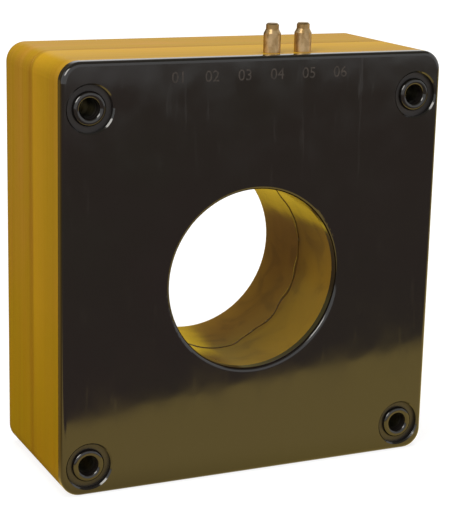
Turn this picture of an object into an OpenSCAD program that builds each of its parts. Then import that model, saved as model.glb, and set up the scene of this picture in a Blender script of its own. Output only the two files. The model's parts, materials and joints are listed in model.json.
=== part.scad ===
// Window-type current transformer: a ring core with a copper winding, sealed in two moulded
// trays behind a black cover, with four mounting sleeves and two brass terminal studs.
// Every piece is modelled with the case lying on its back: x to the right, y up the face from
// the window's axis, z from the back face to the front. upright() stands it on its base.

// The case is sized from the inside out: window, coil, clearance, wall.

/* [Case] */
// Height of the terminal band above the square part of the case
band_h = 5.7; // [5.5:0.1:20]
// Thickness of the side walls
wall = 2.4; // [2:0.1:3]
// Thickness of the front and back walls
end_wall = 2.4; // [2:0.1:3]
// Radius of the case's four corners
corner_r = 5.6; // [4.5:0.1:7]
// Rounding of the back face's outer edge
back_edge = 1.2; // [0.6:0.1:1.6]
// Chamfer along the line where the trays meet
parting_chamfer = 0.15; // [0.1:0.05:0.4]
// Height of the lap joint between the trays
lap_h = 1.6; // [1:0.1:2.4]

/* [Window] */
// Bore of the window through the trays
bore_d = 54; // [48:0.5:80]
// Wall of the window tube
tube_wall = 2.2; // [1.8:0.1:2.6]
// Rounding of the window's edge at the back face
bore_edge = 1; // [0.4:0.1:1.6]

/* [Cover] */
// Thickness of the cover
cover_t = 3.2; // [2.8:0.1:4.5]
// Rounding of the cover's outer edge
cover_edge = 1.3; // [0.6:0.1:1.6]
// How far the cover's window lies inside the bore, all round
cover_lip = 1.1; // [0.4:0.1:2]
// Rounding of the edge of the cover's window
lip_edge = 1.2; // [0.5:0.1:1.8]

/* [Mounting holes] */
// Distance of the holes from the left and right sides
hole_side = 7.95; // [7.5:0.05:9]
// Distance of the lower holes from the base
hole_bottom = 8.35; // [7.5:0.05:9.5]
// Distance of the upper holes from the top
hole_top = 12.45; // [10:0.05:14]
// Clearance hole for the mounting screws
hole_d = 5.4; // [4.5:0.1:5.8]
// Outer diameter of the steel sleeves
sleeve_d = 7.9; // [7.3:0.1:8.6]
// Outer diameter of the posts that hold the sleeves
post_d = 12.4; // [11.4:0.1:13]
// Diameter of the recess in the cover round each hole
recess_d = 12.8; // [12:0.1:13]
// Depth of that recess
recess_depth = 1.5; // [0.8:0.1:2]
// Outer diameter of the rounded ring in the recess
ring_d = 9.4; // [8.6:0.1:10]
// How far the ring lies below the cover's face
ring_drop = 0.3; // [0:0.1:0.6]

/* [Terminals] */
// Number of terminal places along the top
place_count = 6; // [4:1:6]
// First place that has a stud, counted from the left
first_index = 4; // [1:1:5]
// Number of studs
stud_count = 2; // [2:1:2]
// Distance between terminal places
place_pitch = 9.525; // [9:0.025:10.5]
// Offset of the row of places from the middle of the case
row_offset = 1.6; // [-2:0.1:2]
// Distance of the studs behind the cover's face
stud_depth = 7; // [6.8:0.1:9]
// Diameter of the studs
stud_d = 4.83; // [4:0.01:5.2]
// Height of the studs above the case
stud_h = 8.1; // [6:0.1:14]
// Diameter of the studs' collar, moulded into the terminal block
collar_d = 6.2; // [5.6:0.1:6.6]
// Diameter of the studs' tip
tip_d = 3.6; // [2.4:0.1:3.8]

/* [Core and winding] */
// Radial build of the core
core_build = 13.4; // [8:0.1:24]
// Length of the core along the window
core_len = 30; // [20:0.5:60]
// Gap between the taped coil and the side and bottom walls
coil_side_gap = 4.35; // [4.2:0.05:8]
// Gap between the taped coil and the window tube
coil_gap = 0.6; // [0.4:0.1:1.5]
// Thickness of the pads in front of and behind the coil
pad_t = 2; // [1:0.1:3]
// Thickness of the tape round the winding
tape_t = 0.8; // [0.4:0.1:1.2]
// Diameter of the winding wire
wire_d = 1.6; // [1:0.1:1.8]
// Number of turns
turn_count = 80; // [40:1:100]
// Thickness of the insulation round the core
insul_t = 1; // [0.6:0.1:1.6]
// Diameter of the insulated leads
lead_d = 2.2; // [1.8:0.1:2.4]
// Diameter of the bare wire at the leads' ends
core_wire_d = 1; // [0.8:0.1:1.2]

/* [Hidden] */
$fn = 96;

fit_gap = 0.05;                            // round pieces that are moulded or pushed in
lap_gap = 0.15;                            // play in the lap joint
slip = 0.1;                                // wire over insulation, tape over wire
lead_gap = 0.2;                            // round a lead in its hole, and at its ends

// radii outwards from the window, and heights forwards from the back face
tube_d = bore_d + 2 * tube_wall;
hole_r = tube_d / 2 + coil_gap;            // inner radius of the taped coil
wrap = insul_t + slip + wire_d + slip + tape_t;
core_r = [hole_r + wrap, hole_r + wrap + core_build];
form_r = [core_r[0] - insul_t, core_r[1] + insul_t];
wound_r = [form_r[0] - slip - wire_d, form_r[1] + slip + wire_d];
coil_r = core_r[1] + wrap;
core_z = [end_wall + pad_t + wrap, end_wall + pad_t + wrap + core_len];
form_z = [core_z[0] - insul_t, core_z[1] + insul_t];
wound_z = [form_z[0] - slip - wire_d, form_z[1] + slip + wire_d];
coil_z = [core_z[0] - wrap, core_z[1] + wrap];

tray_d = (coil_z[1] + pad_t + end_wall) / 2;
case_d = 2 * tray_d + cover_t;
side = coil_r + coil_side_gap + wall;
window_z = side;
bottom = -window_z;
top = window_z + band_h;
hole_x = side - hole_side;
hole_y = [bottom + hole_bottom, top - hole_top];
holes = [for (y = hole_y, x = [-hole_x, hole_x]) [x, y]];
front_edge = 0.2;                          // broken edge of the front tray, under the cover
seat_edge = 0.4;                           // chamfer of the recesses in the cover
ring_r = (ring_d - hole_d) / 4;            // rounding of the rings in the recesses
ring_z = ring_drop + ring_r;               // where the rounding meets the hole's wall

rib_t = 2;                                 // ribs between the posts and the coil
rib_h = 10;
rib_gap = 0.3;

row_x = row_offset - place_pitch * (place_count - 1) / 2;
stud_x = [for (i = [0 : stud_count - 1]) row_x + place_pitch * (first_index - 1 + i)];
stud_z = case_d - stud_depth;
block_margin = 6.2;                        // terminal block beyond the outer studs
block_h = 6.2;                             // terminal block below the top wall
block_back = 6.4;                          // terminal block behind the studs' axes
block_d = stud_depth - cover_t + block_back;
block_y = top - wall - block_h;
collar_h = 5.4;
collar_cover = 0.8;                        // moulding above the collar
collar_y = top - collar_cover - collar_h;  // underside of the collar
neck = 0.2;                                // how much slimmer the shaft is inside the moulding
tail_d = 2.6;                              // the stud's tail below the collar
tail_h = 3;
tail_end = block_y - tail_h;
tip_y = top + stud_h;
tip_h = 1.6;                               // straight part of the tip
tip_cone = 1.15;                           // cone between shaft and tip
tip_edge = 0.4;                            // chamfer at the tip's end

pad_inset = 1;                             // how much narrower the pads are than the coil

lead_y = block_y - lead_d / 2 - lead_gap;  // height at which the leads meet the tails
strip = tail_d / 2 + 2 * lead_gap;         // where a lead's insulation starts, behind the stud
lead_back = 12;                            // how far a lead runs back before it turns down

// ---------- shared shapes ----------

// Stands the lying case on its base, with the origin under its middle
module upright()
    translate([0, case_d / 2, window_z])
        rotate([90, 0, 0])
            children();

// Cross-section between two opposite walls: the middle, and the child as the wall's profile
module wall_pair(lo, hi, z) {
    translate([lo, z[0]]) square([hi - lo, z[1] - z[0]]);
    translate([hi, 0]) children();
    translate([lo, 0]) mirror([1, 0]) children();
}

// Block with the case's outline moved in by inset. The child is its wall's profile, drawn from
// the centre of the corner (x = 0) outwards and between the heights z
module outline_block(inset, z) {
    r = corner_r - inset;
    x = side - inset - r;
    y = [bottom + inset + r, top - inset - r];
    translate([0, y[1], 0]) rotate([90, 0, 0]) linear_extrude(y[1] - y[0])
        wall_pair(-x, x, z) children();
    translate([-x, 0, 0]) rotate([90, 0, 90]) linear_extrude(2 * x)
        wall_pair(y[0], y[1], z) children();
    for (c = [[x, y[1], 0], [-x, y[1], 90], [-x, y[0], 180], [x, y[0], 270]])
        translate([c[0], c[1], 0]) rotate([0, 0, c[2]]) rotate_extrude(angle = 90) children();
}

// Plain block with straight walls
module straight_block(inset, z)
    outline_block(inset, z)
        translate([0, z[0]]) square([corner_r - inset, z[1] - z[0]]);

// Wall profile from z = 0 up to h, with its outer edge rounded by edge at z = 0
module rounded_profile(r, h, edge, chamfer = 0) {
    polygon([[0, 0], [r - edge, 0], [r, edge], [r, h - chamfer], [r - chamfer, h], [0, h]]);
    translate([r - edge, edge]) circle(edge);
}

// Tube between two heights
module pipe(r, z)
    translate([0, 0, z[0]])
        difference() {
            cylinder(r = r[1], h = z[1] - z[0]);
            translate([0, 0, -1]) cylinder(r = r[0], h = z[1] - z[0] + 2);
        }

// What a rounded edge takes off round a hole of radius r whose mouth is at z = 0
module mouth_cut(r, edge)
    rotate_extrude()
        difference() {
            translate([r - edge, -edge]) square([2 * edge, 2 * edge]);
            translate([r + edge, edge]) circle(edge);
            translate([r, edge]) square([2 * edge, edge]);
        }

// ---------- case ----------

// One tray, with its outer face at z = 0 and the parting line at z = tray_d
module tray(edge) {
    difference() {
        union() {
            difference() {
                outline_block(0, [0, tray_d])
                    rounded_profile(corner_r, tray_d, edge, parting_chamfer);
                straight_block(wall, [end_wall, tray_d + 1]);
            }
            cylinder(d = tube_d, h = tray_d);
            for (p = holes) {
                translate([p[0], p[1], 0]) cylinder(d = post_d, h = tray_d);
                diagonal_rib(p);
            }
        }
        translate([0, 0, -1]) cylinder(d = bore_d, h = tray_d + 2);
        for (p = holes)
            translate([p[0], p[1], -1]) cylinder(d = sleeve_d + 2 * fit_gap, h = tray_d + 2);
    }
}

// Rib that centres the coil, from a post towards the window
module diagonal_rib(p) {
    start = coil_r + rib_gap;
    rotate([0, 0, atan2(p[1], p[0])])
        translate([start, -rib_t / 2, 0])
            cube([norm(p) - start, rib_t, rib_h]);
}

module rear_tray()
    color("goldenrod") upright() {
        difference() {
            tray(back_edge);
            mouth_cut(bore_d / 2, bore_edge);
        }
        // inner half of the lap joint, round the wall between the posts and round the tube
        difference() {
            straight_block(wall / 2 + lap_gap, [tray_d, tray_d + lap_h]);
            straight_block(wall, [tray_d - 1, tray_d + lap_h + 1]);
            for (p = holes)
                translate([p[0], p[1], tray_d - 1])
                    cylinder(d = post_d + 2 * lap_gap, h = lap_h + 2);
        }
        pipe([(bore_d + tube_wall) / 2 + lap_gap, tube_d / 2], [tray_d, tray_d + lap_h]);
    }

module front_tray()
    color("goldenrod") upright() translate([0, 0, 2 * tray_d]) mirror([0, 0, 1])
        difference() {
            union() {
                tray(front_edge);
                terminal_block();
            }
            translate([0, 0, tray_d - lap_h - lap_gap]) lap_rebate();
            translate([0, 0, stud_depth - cover_t])
                for (x = stud_x) translate([x, 0, 0]) stud_hole();
        }

// Room for the rear tray's lap joint
module lap_rebate() {
    h = lap_h + lap_gap + 1;
    difference() {
        straight_block(wall / 2, [0, h]);
        straight_block(wall + 0.5, [-1, h + 1]);
        for (p = holes) translate([p[0], p[1], -1]) cylinder(d = post_d, h = h + 2);
    }
    pipe([(bore_d + tube_wall) / 2, tube_d / 2 + 1], [0, h]);
}

// Solid rail under the top wall that the studs are moulded into
module terminal_block()
    translate([stud_x[0] - block_margin, block_y, 0])
        cube([stud_x[stud_count - 1] - stud_x[0] + 2 * block_margin, block_h + wall / 2, block_d]);

module stud_hole()
    rotate([-90, 0, 0]) {
        translate([0, 0, block_y - 1]) cylinder(d = stud_d - 2 * neck + 2 * fit_gap, h = top);
        translate([0, 0, block_y - 1])
            cylinder(d = collar_d + 2 * fit_gap, h = collar_y + collar_h - block_y + 1 + fit_gap);
    }

// ---------- cover ----------

module cover()
    color([0.1, 0.09, 0.08]) upright() translate([0, 0, case_d]) mirror([0, 0, 1])
        difference() {
            outline_block(0, [0, cover_t]) rounded_profile(corner_r, cover_t, cover_edge);
            translate([0, 0, -1]) cylinder(r = bore_d / 2 - cover_lip, h = cover_t + 2);
            mouth_cut(bore_d / 2 - cover_lip, lip_edge);
            for (p = holes) translate([p[0], p[1], 0]) screw_seat();
        }

// Mounting hole, and the recess with a rounded ring round it
module screw_seat()
    rotate_extrude()
        difference() {
            polygon([
                [0, -1], [recess_d / 2 + seat_edge + 1, -1], [recess_d / 2, seat_edge],
                [recess_d / 2, recess_depth], [ring_d / 2, recess_depth], [ring_d / 2, ring_z],
                [hole_d / 2, ring_z], [hole_d / 2, cover_t + 1], [0, cover_t + 1]
            ]);
            translate([hole_d / 2 + ring_r, ring_z]) circle(ring_r);
        }

// ---------- metal parts ----------

module sleeve(i)
    color("silver") upright()
        translate([holes[i - 1][0], holes[i - 1][1], 0])
            pipe([hole_d / 2, sleeve_d / 2], [0, 2 * tray_d]);

// Turned stud with a cross hole in its tail for the lead
module stud(i)
    color([0.72, 0.56, 0.32]) upright()
        translate([stud_x[i - 1], 0, stud_z])
            difference() {
                rotate([-90, 0, 0]) rotate_extrude() polygon([
                    [0, tail_end], [tail_d / 2, tail_end], [tail_d / 2, collar_y],
                    [collar_d / 2, collar_y], [collar_d / 2, collar_y + collar_h],
                    [stud_d / 2 - neck, collar_y + collar_h], [stud_d / 2 - neck, top],
                    [stud_d / 2, top], [stud_d / 2, tip_y - tip_h - tip_cone],
                    [tip_d / 2, tip_y - tip_h], [tip_d / 2, tip_y - tip_edge],
                    [tip_d / 2 - tip_edge, tip_y], [0, tip_y]
                ]);
                translate([0, lead_y, -tail_d]) cylinder(d = core_wire_d + 2 * fit_gap, h = tail_d);
            }

// ---------- core and winding ----------

module core()
    color("slategray") upright() pipe(core_r, core_z);

module insulation_ring(z)
    color("tan") upright() pipe(form_r, z);

module insulation_wrap(r)
    color("tan") upright() pipe(r, core_z);

// One turn of wire round the insulated core, in the plane y = 0
module turn() {
    edge = wire_d;                         // outer bend of the wire
    rotate([90, 0, 0])
        translate([0, 0, -wire_d / 2])
            linear_extrude(wire_d)
                difference() {
                    soft_rect(wound_r, wound_z, edge);
                    translate([form_r[0] - slip, form_z[0] - slip])
                        square([form_r[1] - form_r[0] + 2 * slip, form_z[1] - form_z[0] + 2 * slip]);
                }
}

// Rectangle with rounded corners
module soft_rect(x, y, r) {
    translate([x[0] + r, y[0]]) square([x[1] - x[0] - 2 * r, y[1] - y[0]]);
    translate([x[0], y[0] + r]) square([x[1] - x[0], y[1] - y[0] - 2 * r]);
    for (cx = [x[0] + r, x[1] - r], cy = [y[0] + r, y[1] - r])
        translate([cx, cy]) circle(r, $fn = 32);
}

module winding()
    color("chocolate") upright()
        for (i = [0 : turn_count - 1])
            rotate([0, 0, 360 * (i + 0.5) / turn_count]) turn();

// Closed tape cover with a hole where each lead comes out
module tape()
    color("khaki") upright()
        difference() {
            pipe([hole_r, coil_r], coil_z);
            pipe([hole_r + tape_t, coil_r - tape_t], [coil_z[0] + tape_t, coil_z[1] - tape_t]);
            for (x = stud_x)
                translate([x, wound_r[0], stud_z - lead_back]) rotate([-90, 0, 0])
                    cylinder(d = lead_d + 2 * lead_gap, h = coil_r);
        }

// Ring of resilient board that seats the coil against a tray
module pad(z)
    color("dimgray") upright() pipe([hole_r + pad_inset, coil_r - pad_inset], [z, z + pad_t]);

// Insulated lead: a bare end in the stud's tail, a run to the rear and a drop to the winding
module lead(i) {
    x = stud_x[i - 1];
    end_y = sqrt(pow(wound_r[1], 2) - pow(x, 2)) + lead_gap;
    color("firebrick") upright()
        translate([x, lead_y, stud_z - lead_back]) {
            cylinder(d = core_wire_d, h = lead_back - lead_gap);
            cylinder(d = lead_d, h = lead_back - strip);
            sphere(d = lead_d);
            rotate([90, 0, 0]) cylinder(d = lead_d, h = lead_y - end_y);
        }
}

cover();
front_tray();
rear_tray();
sleeve(1);  // sleeve_1
sleeve(2);  // sleeve_2
sleeve(3);  // sleeve_3
sleeve(4);  // sleeve_4
stud(1);  // stud_1
stud(2);  // stud_2
pad(coil_z[1]);  // pad_front
pad(end_wall);  // pad_rear
tape();
winding();
insulation_ring([core_z[1], form_z[1]]);  // insulation_front
insulation_ring([form_z[0], core_z[0]]);  // insulation_rear
insulation_wrap([form_r[0], core_r[0]]);  // insulation_inner
insulation_wrap([core_r[1], form_r[1]]);  // insulation_outer
core();
lead(1);  // lead_1
lead(2);  // lead_2
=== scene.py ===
"""Looks of the window current transformer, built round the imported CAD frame."""

import json
import math
import random

import bpy
from mathutils import Matrix, Vector

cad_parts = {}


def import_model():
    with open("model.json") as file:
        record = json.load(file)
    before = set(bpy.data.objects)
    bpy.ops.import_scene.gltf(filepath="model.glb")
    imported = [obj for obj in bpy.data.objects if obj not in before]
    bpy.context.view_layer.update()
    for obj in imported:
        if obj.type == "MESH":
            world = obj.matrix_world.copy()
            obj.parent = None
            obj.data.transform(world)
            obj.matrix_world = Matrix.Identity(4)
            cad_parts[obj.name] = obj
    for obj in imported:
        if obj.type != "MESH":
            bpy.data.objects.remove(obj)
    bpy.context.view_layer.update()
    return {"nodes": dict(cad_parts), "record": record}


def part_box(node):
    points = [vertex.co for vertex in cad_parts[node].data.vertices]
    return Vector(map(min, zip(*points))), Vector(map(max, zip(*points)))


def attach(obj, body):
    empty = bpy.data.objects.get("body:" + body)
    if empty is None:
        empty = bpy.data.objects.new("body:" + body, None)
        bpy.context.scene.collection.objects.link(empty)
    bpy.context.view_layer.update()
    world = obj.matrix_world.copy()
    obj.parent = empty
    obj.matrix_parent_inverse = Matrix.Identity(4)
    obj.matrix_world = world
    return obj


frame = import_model()
nodes = frame["nodes"]
mounts = {m["name"]: m for m in frame["record"]["mounts"]}
scene = bpy.context.scene
MM = 0.001

# ---------- places taken from the frame ----------

cover_lo, cover_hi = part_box("cover")
case_w = cover_hi.x - cover_lo.x
case_h = cover_hi.z
face_y = cover_lo.y                                   # front face of the cover
seam_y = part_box("front_tray")[1].y                    # line where the trays meet
stud_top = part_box("stud_1")[1].z
axis_z = mounts["window_tube"]["pos_m"][2]            # window axis
bore_r = mounts["window_tube"]["dims"]["r_mm"] * MM
holes = mounts["mounting_holes"]
hole_dx = holes["dims"]["spacing_x_mm"] * MM / 2
hole_dz = holes["dims"]["spacing_y_mm"] * MM / 2
hole_z = holes["pos_m"][2]

# ---------- node helpers ----------


class Graph:
    """The node tree of a material or world, with short ways to add nodes and join them."""

    def __init__(self, name, owner=None, output="ShaderNodeOutputMaterial"):
        self.mat = owner or bpy.data.materials.new(name)
        self.mat.use_nodes = True
        self.tree = self.mat.node_tree
        self.tree.nodes.clear()
        self.out = self.add(output)
        self.spot = None

    def add(self, kind, **values):
        node = self.tree.nodes.new(kind)
        for key, value in values.items():
            setattr(node, key, value)
        return node

    def link(self, source, target):
        self.tree.links.new(source, target)

    def put(self, node, name, value):
        """Sets or links one input."""
        socket = node.inputs[name]
        if isinstance(value, bpy.types.NodeSocket):
            self.link(value, socket)
        else:
            socket.default_value = value

    def shader(self, **values):
        """Principled shader joined to the output. Keys are input names with _ for a space."""
        node = self.add("ShaderNodeBsdfPrincipled")
        for key, value in values.items():
            self.put(node, key.replace("_", " "), value)
        self.link(node.outputs[0], self.out.inputs[0])
        return node

    def coords(self, scale=(1, 1, 1), offset=(0, 0, 0)):
        """Place on the object, scaled. The unit is 1 mm at scale 1."""
        if self.spot is None:
            self.spot = self.add("ShaderNodeTexCoord").outputs["Object"]
        node = self.add("ShaderNodeMapping")
        self.link(self.spot, node.inputs["Vector"])
        node.inputs["Location"].default_value = offset
        node.inputs["Scale"].default_value = [1000 * s for s in scale]
        return node.outputs[0]

    def noise(self, scale=(1, 1, 1), detail=3.0, rough=0.5, warp=0.0, offset=(0, 0, 0)):
        node = self.add("ShaderNodeTexNoise")
        self.link(self.coords(scale, offset), node.inputs["Vector"])
        node.inputs["Scale"].default_value = 1.0
        node.inputs["Detail"].default_value = detail
        node.inputs["Roughness"].default_value = rough
        node.inputs["Distortion"].default_value = warp
        return node.outputs["Fac"]

    def span(self, value, lo, hi, to_lo=0.0, to_hi=1.0, smooth=False):
        """Maps value from lo..hi to to_lo..to_hi, held at the ends."""
        node = self.add("ShaderNodeMapRange")
        node.interpolation_type = "SMOOTHSTEP" if smooth else "LINEAR"
        self.put(node, "Value", value)
        for key, v in zip(("From Min", "From Max", "To Min", "To Max"), (lo, hi, to_lo, to_hi)):
            node.inputs[key].default_value = v
        return node.outputs["Result"]

    def math(self, op, a, b=0.0):
        node = self.add("ShaderNodeMath", operation=op)
        for i, v in enumerate((a, b)):
            if isinstance(v, bpy.types.NodeSocket):
                self.link(v, node.inputs[i])
            else:
                node.inputs[i].default_value = v
        return node.outputs[0]

    def mix(self, fac, a, b, blend="MIX"):
        node = self.add("ShaderNodeMix", data_type="RGBA", blend_type=blend)
        sockets = [s for s in node.inputs if s.enabled]
        for socket, v in zip(sockets, (fac, a, b)):
            if isinstance(v, bpy.types.NodeSocket):
                self.link(v, socket)
            elif socket.type == "RGBA":
                socket.default_value = (*v, 1) if len(v) == 3 else v
            else:
                socket.default_value = v
        return [s for s in node.outputs if s.enabled][0]

    def bump(self, height, strength=0.2, distance=0.1, normal=None):
        """Bump from a height, with its distance in mm."""
        node = self.add("ShaderNodeBump")
        self.link(height, node.inputs["Height"])
        node.inputs["Strength"].default_value = strength
        node.inputs["Distance"].default_value = distance * MM
        if normal is not None:
            self.link(normal, node.inputs["Normal"])
        return node.outputs[0]

    def axis(self, name):
        """One coordinate of the place on the object, in mm."""
        node = self.add("ShaderNodeSeparateXYZ")
        self.link(self.coords(), node.inputs[0])
        return node.outputs[name]

    def from_axis(self, x=0.0, z=None, fold=False):
        """Distance in mm from a line along Y. Folded, the case's left half lies on its right."""
        px = self.axis("X")
        if fold:
            px = self.math("ABSOLUTE", px)
        dx = self.math("SUBTRACT", px, x)
        dz = self.math("SUBTRACT", self.axis("Z"), axis_z / MM if z is None else z)
        squares = [self.math("MULTIPLY", d, d) for d in (dx, dz)]
        return self.math("SQRT", self.math("ADD", *squares))


def srgb(r, g, b):
    """A colour given as 0..255 sRGB values, as linear values."""
    return tuple(
        (c / 12.92 if c <= 0.04045 else ((c + 0.055) / 1.055) ** 2.4)
        for c in (r / 255, g / 255, b / 255)
    )


# ---------- materials ----------


def tray_material():
    """Mustard moulding: fine streaks along the case's depth, a lighter band in front of the joint that is
    painted highlight, painted shade along the joint, and a glossier bore darkened with painted shade and
    smudges.
    """
    g = Graph("tray")
    marks = g.noise((0.006, 0.28, 0.006), detail=2, rough=0.5)
    fine = g.noise((0.012, 0.9, 0.012), detail=3, rough=0.6, offset=(2, 0, 5))
    broad = g.noise((0.03, 0.05, 0.03), detail=3, warp=0.4)
    specks = g.noise((1.6, 1.6, 1.6), detail=2)
    upper = g.mix(g.span(broad, 0.35, 0.65), srgb(172, 128, 44), srgb(168, 131, 34))
    lower = g.mix(g.span(broad, 0.35, 0.65), srgb(168, 127, 20), srgb(162, 129, 14))
    base = g.mix(g.span(g.axis("Z"), 15, 95, smooth=True), lower, upper)
    base = g.mix(g.span(marks, 0.42, 0.6, 0, 0.5), base, srgb(160, 126, 22))
    base = g.mix(g.span(fine, 0.5, 0.7, 0, 0.3), base, srgb(154, 106, 14))
    base = g.mix(g.span(specks, 0.62, 0.75, 0, 0.12), base, srgb(110, 80, 10))
    y = g.axis("Y")
    # Painted highlight: a lighter band in front of the joint, stronger higher up, stands in for light on a
    # ridge of the case.
    ahead = g.span(y, seam_y / MM - 19, seam_y / MM - 3, 0.0, 0.4)
    ends = g.span(y, seam_y / MM - 2.5, seam_y / MM - 1, 1.0, 0.0, smooth=True)
    ahead = g.math("MULTIPLY", ahead, ends)
    ahead = g.math("MULTIPLY", ahead, g.span(g.axis("Z"), 10, 50))
    base = g.mix(ahead, base, srgb(204, 158, 32))
    # Painted shade: darker along the joint with a ragged edge, weaker near the top, standing in for shade
    # in the groove between the trays.
    off = g.math("ABSOLUTE", g.math("SUBTRACT", y, seam_y / MM))
    ragged = g.math("ADD", off, g.span(broad, 0.3, 0.7, -0.6, 0.6))
    stain_and_shade = g.math("MULTIPLY", g.span(ragged, 0.2, 3.0, 0.34, 0.0, smooth=True),
                   g.span(g.axis("Z"), case_h / MM - 6, case_h / MM - 1, 1.0, 0.3))
    base = g.mix(stain_and_shade, base, srgb(128, 82, 20))
    # Painted shade: inside the bore the colour goes to duller, darker tones, with darker smudges and a
    # slightly redder rear half behind a wavy edge, standing in for the shade in the window.
    inside = g.span(g.from_axis(), bore_r / MM + 0.2, bore_r / MM + 0.8, 1.0, 0.0)
    smudge_and_shade_noise = g.noise((0.09, 0.09, 0.09), detail=3, warp=0.8, offset=(4, 2, 9))
    edge = g.math("ADD", y, g.span(smudge_and_shade_noise, 0.3, 0.7, -2.2, 2.2))
    behind = g.span(edge, seam_y / MM - 0.6, seam_y / MM + 1.2, smooth=True)
    bore_shade_and_smudges = g.mix(behind, srgb(134, 104, 32), srgb(140, 102, 40))
    bore_shade_and_smudges = g.mix(g.span(smudge_and_shade_noise, 0.5, 0.66, 0, 0.4, smooth=True), bore_shade_and_smudges, srgb(104, 74, 30))
    base = g.mix(g.math("MULTIPLY", inside, g.span(smudge_and_shade_noise, 0.25, 0.75, 0.6, 0.95)), base, bore_shade_and_smudges)
    rough = g.span(marks, 0.3, 0.7, 0.4, 0.55)
    peel = g.noise((0.35, 0.35, 0.35), detail=2)
    normal = g.bump(peel, 0.12, 0.12)
    normal = g.bump(marks, 0.15, 0.05, normal)
    swell = g.noise((0.1, 0.1, 0.1), detail=1, offset=(5, 1, 3))
    normal = g.bump(swell, 0.3, 0.5, normal)
    g.shader(Base_Color=base, Roughness=rough, Normal=normal, Specular_IOR_Level=0.0,
             Coat_Weight=g.span(inside, 0, 1, 0.16, 0.85), Coat_Roughness=0.14, Coat_Normal=normal)
    return g.mat


def cover_material():
    """Glossy black moulding with a soft waviness, dust, rub marks and dull washer recesses."""
    g = Graph("cover")
    broad = g.noise((0.02, 0.02, 0.02), detail=3, warp=0.6)
    cloud = g.noise((0.09, 0.09, 0.09), detail=4, warp=0.3, offset=(3, 1, 7))
    dust = g.noise((2.2, 2.2, 2.2), detail=2, offset=(1, 5, 2))
    rub = g.noise((0.5, 0.5, 0.05), detail=3, rough=0.6, warp=0.4, offset=(6, 0, 1))
    base = g.mix(g.span(broad, 0.35, 0.65), srgb(18, 13, 15), srgb(15, 16, 12))
    base = g.mix(g.span(dust, 0.66, 0.74, 0, 0.4), base, srgb(50, 46, 42))
    base = g.mix(g.span(rub, 0.62, 0.74, 0, 0.3), base, srgb(40, 36, 33))
    low = g.from_axis(hole_dx / MM, (hole_z - hole_dz) / MM, fold=True)
    high = g.from_axis(hole_dx / MM, (hole_z + hole_dz) / MM, fold=True)
    near = g.math("MINIMUM", low, high)
    deep = g.span(g.axis("Y"), face_y / MM + 0.7, face_y / MM + 1.3)
    groove = g.math("MULTIPLY", deep, g.span(near, 6.6, 7.0, 1.0, 0.0))
    base = g.mix(g.math("MULTIPLY", groove, 0.8), base, srgb(20, 14, 12))
    rough = g.span(cloud, 0.35, 0.7, 0.08, 0.16)
    rough = g.math("ADD", rough, g.span(rub, 0.6, 0.74, 0, 0.08))
    rough = g.math("ADD", rough, g.math("MULTIPLY", groove, 0.35))
    wave = g.noise((0.045, 0.045, 0.045), detail=2, offset=(9, 4, 0))
    normal = g.bump(wave, 0.5, 0.3)
    normal = g.bump(dust, 0.02, 0.05, normal)
    g.shader(Base_Color=base, Roughness=rough, Normal=normal, IOR=1.6)
    return g.mat


def mark_material():
    """Moulded numbers, a little paler and duller than the cover."""
    g = Graph("marks")
    worn = g.noise((0.9, 0.9, 0.9), detail=3)
    base = g.mix(g.span(worn, 0.35, 0.65), srgb(40, 36, 35), srgb(70, 64, 62))
    g.shader(Base_Color=base, Roughness=g.span(worn, 0.3, 0.7, 0.4, 0.6), IOR=1.5)
    return g.mat


def metal_material(name, pale, dark, lo, hi, rings=6.0, shade_above=None):
    """Turned metal with tool marks round the axis and a patchy tarnish. If a height (mm) is given, the
    colour darkens above it, as painted shade on the stud's chamfered end.
    """
    g = Graph(name)
    tool = g.noise((0.2, 0.2, rings), detail=3)
    stain_and_shade = g.noise((0.5, 0.5, 0.3), detail=4, warp=0.5)
    base = g.mix(g.span(stain_and_shade, 0.38, 0.66), pale, dark)
    base = g.mix(g.span(tool, 0.45, 0.65, 0, 0.25), base, dark)
    # Painted shade: above the given height the colour goes towards the dark tone.
    if shade_above is not None:
        base = g.mix(g.span(g.axis("Z"), shade_above - 0.4, shade_above + 0.6, 0.0, 0.7), base, dark)
    rough = g.span(stain_and_shade, 0.3, 0.7, lo, hi)
    normal = g.bump(tool, 0.25, 0.05)
    g.shader(Base_Color=base, Metallic=1.0, Roughness=rough, Normal=normal)
    return g.mat


def soft_material(name, pale, dark, rough, scale=0.6, bump=0.3, metallic=0.0):
    """Plain material with a grain, for the pieces sealed in the case."""
    g = Graph(name)
    grain = g.noise((scale, scale, scale), detail=4)
    base = g.mix(g.span(grain, 0.35, 0.65), pale, dark)
    normal = g.bump(grain, bump, 0.1)
    g.shader(Base_Color=base, Roughness=rough, Metallic=metallic, Normal=normal)
    return g.mat


def bead_material():
    """Hardened adhesive squeezed out of the joint inside the window."""
    g = Graph("bead")
    lumps = g.noise((0.3, 0.3, 0.3), detail=3, warp=0.5)
    base = g.mix(g.span(lumps, 0.35, 0.65), srgb(98, 66, 24), srgb(78, 56, 20))
    g.shader(Base_Color=base, Roughness=g.span(lumps, 0.3, 0.7, 0.15, 0.3),
             Normal=g.bump(lumps, 0.4, 0.2), IOR=1.5)
    return g.mat


tray = tray_material()
cover = cover_material()
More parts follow.
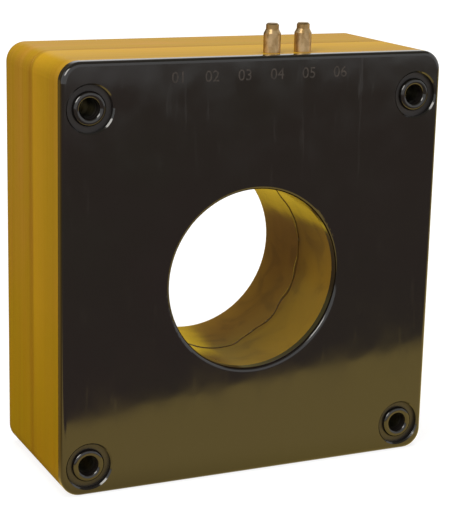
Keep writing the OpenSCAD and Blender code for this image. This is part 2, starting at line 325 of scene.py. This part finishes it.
# The studs' ends, from 1.8 mm under their top, carry painted shade.
brass = metal_material("brass", srgb(208, 180, 138), srgb(150, 122, 78), 0.28, 0.45,
                       shade_above=stud_top / MM - 1.8)
zinc = metal_material("zinc", srgb(178, 178, 172), srgb(120, 120, 114), 0.3, 0.5)
plain = {
    "pad": soft_material("pad", srgb(40, 40, 40), srgb(28, 28, 28), 0.8, 1.2),
    "tape": soft_material("tape", srgb(206, 188, 140), srgb(180, 160, 112), 0.85, 2.0),
    "wire": soft_material("wire", srgb(170, 86, 42), srgb(130, 60, 30), 0.3, 0.8, 0.1),
    "insulation": soft_material("insulation", srgb(186, 156, 108), srgb(160, 130, 84), 0.8, 0.8),
    "core": soft_material("core", srgb(130, 132, 136), srgb(96, 98, 102), 0.45, 0.6, 0.2, 1.0),
    "lead": soft_material("lead", srgb(150, 30, 22), srgb(120, 22, 18), 0.5, 0.8),
}
by_slot = {"cover": cover, "tray": tray, "stud": brass, "sleeve": zinc, **plain}
for part in frame["record"]["subparts"]:
    mesh = nodes[part["node"]].data
    mesh.materials.clear()
    mesh.materials.append(by_slot[part["material_slot"]])

# ---------- pieces added round the frame ----------


def finish_piece(obj, material):
    obj.data.materials.clear()
    obj.data.materials.append(material)
    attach(obj, "root")
    return obj


def mesh_object(name, verts, faces, smooth=True):
    mesh = bpy.data.meshes.new(name)
    mesh.from_pydata(verts, [], faces)
    mesh.validate()
    mesh.polygons.foreach_set("use_smooth", [smooth] * len(mesh.polygons))
    obj = bpy.data.objects.new(name, mesh)
    scene.collection.objects.link(obj)
    return obj


def digits():
    """Plain numbers moulded on the cover under its top edge."""
    count, size, depth = 6, 4.35 * MM, 0.12 * MM
    pitch, below_top, sunk = 9.74 * MM, 5.1 * MM, 0.35 * depth
    material = mark_material()
    for i in range(count):
        curve = bpy.data.curves.new(f"place_{i + 1}", "FONT")
        curve.body = f"{i + 1:02d}"
        curve.align_x, curve.align_y = "CENTER", "CENTER"
        curve.size = size
        curve.extrude = depth / 2
        curve.resolution_u = 4
        text = bpy.data.objects.new(curve.name, curve)
        scene.collection.objects.link(text)
        mesh = bpy.data.meshes.new_from_object(text)
        bpy.data.objects.remove(text)
        along = (i - (count - 1) / 2) * pitch
        place = Matrix.Translation((along, face_y + sunk, case_h - below_top))
        mesh.transform(place @ Matrix.Rotation(math.pi / 2, 4, "X"))
        obj = bpy.data.objects.new(f"place_{i + 1}", mesh)
        scene.collection.objects.link(obj)
        finish_piece(obj, material)


def bead():
    """Wavy line of adhesive round the bore, where the trays meet."""
    rng = random.Random(11)
    steps, across = 360, 5
    heights = {3: 1.0, 5: 0.8, 7: 0.75, 10: 0.6, 14: 0.4, 19: 0.25, 29: 0.12}    # waves round: mm
    waves = [(k, rng.uniform(0, 2 * math.pi), rng.uniform(0.5, 1.0) * h) for k, h in heights.items()]
    thin, swing, crown, rooted = 0.35, 0.3, 0.22, 0.02                           # mm
    verts, faces = [], []
    for i in range(steps):
        a = 2 * math.pi * i / steps
        sway = sum(h * math.sin(k * a + p) for k, p, h in waves)
        pulse = sum(h * math.sin((k + 3) * a + 2 * p) for k, p, h in waves[:5])
        width = thin + swing * abs(pulse)
        mid = seam_y + sway * MM
        for j in range(across):
            t = j / (across - 1)
            rise = crown * math.sin(math.pi * t) - rooted
            r = bore_r - rise * MM
            y = mid + (t - 0.5) * width * 2 * MM
            verts.append((r * math.cos(a), y, axis_z + r * math.sin(a)))
    for i in range(steps):
        for j in range(across - 1):
            a, b = i * across + j, (i + 1) % steps * across + j
            faces.append((a, b, b + 1, a + 1))
    finish_piece(mesh_object("joint_bead", verts, faces), bead_material())


digits()
bead()

# ---------- floor, light and camera ----------


def ray_switch(g, seen, unseen):
    """seen for what the camera, reflections and glass show, unseen for what lights the object."""
    path = g.add("ShaderNodeLightPath")
    fac = g.math("MAXIMUM", path.outputs["Is Camera Ray"], path.outputs["Is Glossy Ray"])
    fac = g.math("MAXIMUM", fac, path.outputs["Is Transmission Ray"])
    mix = g.add("ShaderNodeMixShader")
    g.link(fac, mix.inputs[0])
    g.link(unseen, mix.inputs[1])
    g.link(seen, mix.inputs[2])
    return mix.outputs[0]


def rectangle(left, right, front, back, z):
    """Corners of a level rectangle."""
    return [(left, front, z), (right, front, z), (right, back, z), (left, back, z)]


def upright(left, right, y, top):
    """Corners of an upright rectangle on the floor."""
    return [(left, y, 0), (right, y, 0), (right, y, top), (left, y, top)]


def emission(g, colour):
    """Glow of one colour, or of a colour from the graph."""
    glow = g.add("ShaderNodeEmission")
    g.put(glow, "Color", colour if isinstance(colour, bpy.types.NodeSocket) else (*colour, 1))
    return glow


def floor():
    """Plain pale floor. It shows the object's shadow and gives it a soft warm bounce."""
    half = 3.0
    obj = mesh_object("floor", rectangle(-half, half, -half, half, 0), [(0, 1, 2, 3)], False)
    g = Graph("floor")
    lit = g.add("ShaderNodeBsdfDiffuse")
    lit.inputs["Color"].default_value = (0.3, 0.3, 0.3, 1)
    glow = emission(g, (1, 1, 1))
    away = g.add("ShaderNodeVectorMath", operation="LENGTH")
    g.link(g.coords(), away.inputs[0])
    g.link(g.span(away.outputs["Value"], 120, 700, 0.8, 1.0), glow.inputs["Strength"])
    both = g.add("ShaderNodeAddShader")
    g.link(lit.outputs[0], both.inputs[0])
    g.link(glow.outputs[0], both.inputs[1])
    bounce = g.add("ShaderNodeBsdfDiffuse")
    bounce.inputs["Color"].default_value = (0.5, 0.44, 0.34, 1)
    g.link(ray_switch(g, both.outputs[0], bounce.outputs[0]), g.out.inputs[0])
    obj.data.materials.append(g.mat)


def mirror_card(name, points, colour):
    """A glowing stage card that only reflections see. Its colour may be a function of its graph."""
    obj = mesh_object(name, points, [tuple(range(len(points)))], False)
    g = Graph(name)
    glow = emission(g, colour(g) if callable(colour) else colour)
    g.link(glow.outputs[0], g.out.inputs[0])
    obj.data.materials.append(g.mat)
    for ray in ("camera", "diffuse", "shadow", "transmission", "volume_scatter"):
        setattr(obj, "visible_" + ray, False)


def table_colour(g):
    """Warm wood, brightest in front of the object."""
    across = g.span(g.axis("X"), -60, 40, smooth=True)
    behind = g.span(g.axis("Y"), -45, 5, smooth=True)
    rear = g.mix(across, (0.4, 0.25, 0.05), (1.2, 0.85, 0.15))
    return g.mix(behind, (1.68, 1.23, 0.4), rear)


def wall_colour(g):
    """Dark on the left, and on the right warm below and white above."""
    across = g.span(g.axis("X"), -60, 200, smooth=True)
    up = g.span(g.axis("Z"), 120, 260, smooth=True)
    right_side = g.mix(up, (1.2, 0.85, 0.12), (1.0, 1.0, 1.0))
    return g.mix(across, (0.14, 0.11, 0.06), right_side)


def flag_colour(g):
    """What the window's wall mirrors: a dull disc, a bright corner and a duller side."""
    disc_x, disc_z = 8.0, 45.0
    x, z = g.axis("X"), g.axis("Z")
    ring = g.span(g.from_axis(disc_x, disc_z), 26, 33, smooth=True)
    upper = g.math("MULTIPLY", ring, g.span(z, 42, 62, smooth=True))
    right_of, left_of = g.span(x, 9, 17, smooth=True), g.span(x, 38, 46, 1.0, 0.0, smooth=True)
    below = g.span(z, 48, 56, 1.0, 0.0, smooth=True)
    corner = g.math("MULTIPLY", g.math("MULTIPLY", right_of, left_of), below)
    side = g.span(x, -60, -40, 1.0, 0.0, smooth=True)
    tone = g.mix(upper, (0.2, 0.13, 0.06), (0.38, 0.32, 0.12))
    tone = g.mix(corner, tone, (1.3, 0.9, 0.07))
    return g.mix(side, tone, (0.4, 0.25, 0.05))


def cards():
    """The room that the photograph's gloss mirrors. It is laid out for that view, and isn't the object."""
    left, right, back, front = -1.4, 1.4, 0.9, -0.9
    lift, wall_h, ceiling = 0.0004, 0.9, 1.2
    edge_y, edge_slope = -0.0888, -0.2316                 # where the table ends in front
    flag_left, flag_right, flag_y, flag_top = -0.25, 0.3, 0.08, 0.112
    edge = [(x, edge_y + edge_slope * x, lift) for x in (left, right)]
    mirror_card("table_card", [*edge, (right, back, lift), (left, back, lift)], table_colour)
    mirror_card("dark_card", [(left, front, lift), (right, front, lift), *reversed(edge)],
                (0.3, 0.236, 0.2))
    mirror_card("wall_card", upright(left, right, back, wall_h), wall_colour)
    mirror_card("ceiling_card", rectangle(left, right, front, back, ceiling), (0.22, 0.2, 0.16))
    mirror_card("flag_card", upright(flag_left, flag_right, flag_y, flag_top), flag_colour)


def background(g, colour, strength):
    node = g.add("ShaderNodeBackground")
    node.inputs["Color"].default_value = (*colour, 1)
    node.inputs["Strength"].default_value = strength
    return node.outputs[0]


def world():
    """White where it is seen, and a soft fill on the object."""
    scene.world = bpy.data.worlds.new("studio")
    g = Graph("studio", scene.world, "ShaderNodeOutputWorld")
    seen, unseen = background(g, (1, 1, 1), 1.0), background(g, (1, 0.98, 0.95), 0.3)
    g.link(ray_switch(g, seen, unseen), g.out.inputs[0])


def area_light(name, place, target, size, power, colour=(1, 1, 1)):
    light = bpy.data.lights.new(name, "AREA")
    light.shape = "RECTANGLE"
    light.size, light.size_y = size
    light.energy = power
    light.color = colour
    obj = bpy.data.objects.new(name, light)
    obj.location = place
    obj.rotation_euler = (Vector(target) - Vector(place)).to_track_quat("-Z", "Y").to_euler()
    obj.visible_camera = False
    scene.collection.objects.link(obj)
    return obj


def camera():
    """The photograph's view: yaw and pitch of the line of sight, and a small roll."""
    from_face = Vector((-1.6594, -3.3817, 0.9762))        # in case widths, from the face's middle
    yaw, pitch, roll = (math.radians(v) for v in (24.98, -14.13, 1.41))
    middle = Vector((0, face_y, case_h / 2))
    place = middle + case_w * from_face
    level = math.cos(pitch)
    ahead = Vector((math.sin(yaw) * level, math.cos(yaw) * level, math.sin(pitch)))
    right0 = Vector((math.cos(yaw), -math.sin(yaw), 0))
    up0 = right0.cross(ahead)
    right = math.cos(roll) * right0 + math.sin(roll) * up0
    up = -math.sin(roll) * right0 + math.cos(roll) * up0
    cam = bpy.data.objects.new("camera", bpy.data.cameras.new("camera"))
    scene.collection.objects.link(cam)
    turn = Matrix((right, up, -ahead)).transposed().to_4x4()
    cam.matrix_world = Matrix.Translation(place) @ turn
    cam.data.lens = 110.5
    cam.data.sensor_width = 36
    cam.data.clip_start, cam.data.clip_end = 0.01, 20
    scene.camera = cam


floor()
cards()
world()
middle = (0, 0, case_h / 2)
area_light("key", (-0.58, -0.4, 0.6), middle, (0.4, 0.4), 4.0, (1.0, 0.97, 0.92))
area_light("top", (0.05, 0.1, 0.9), middle, (0.8, 0.8), 6.6).visible_glossy = False
camera()
scene.view_settings.view_transform = "Standard"
